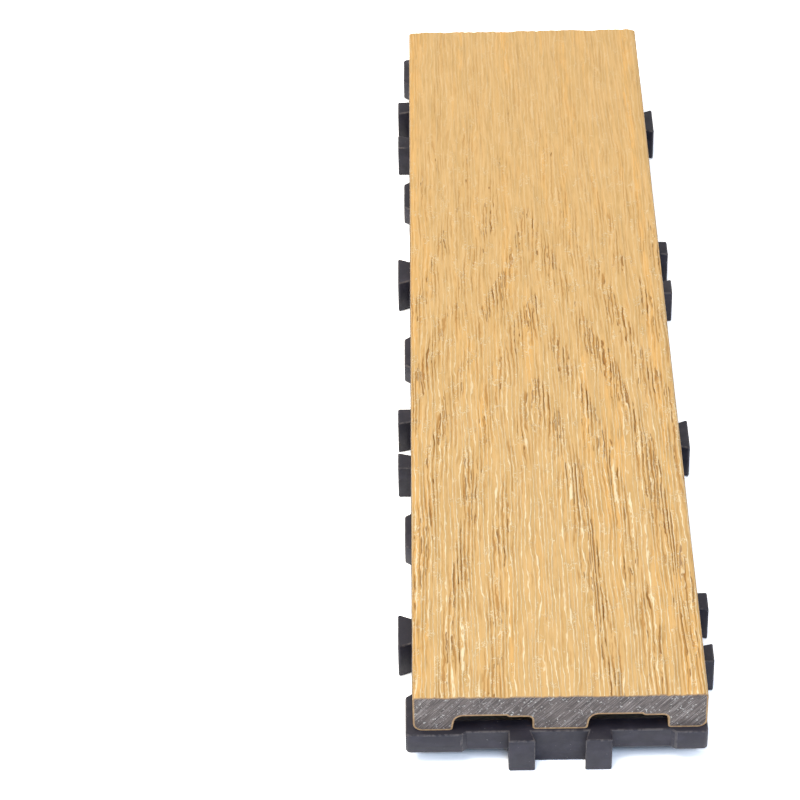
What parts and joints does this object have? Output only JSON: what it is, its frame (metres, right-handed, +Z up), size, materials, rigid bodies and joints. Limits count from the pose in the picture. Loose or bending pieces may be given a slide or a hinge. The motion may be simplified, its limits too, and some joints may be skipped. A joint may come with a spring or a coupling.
{
  "type": "interlocking deck tile",
  "caption": "Strip deck tile: a grooved wood-grain composite board screwed to a braced plastic grid with dovetail tabs and sockets.",
  "frame": {"origin": "on the ground, under the middle of the tile", "axes": "+X across the strip, +Y along it to the end with the tab, +Z up through the board"},
  "size_m": [0.0782, 0.3032, 0.0214],
  "materials": {
    "deck_board": "embossed grain, matt",
    "grid_base": "fine moulded texture",
    "board_screws": "bright stainless"
  },
  "bodies": {
    "root": {"deck_board": "deck_board", "grid_base": "grid_base", "board_screws": "board_screws"}
  },
  "joints": []
}
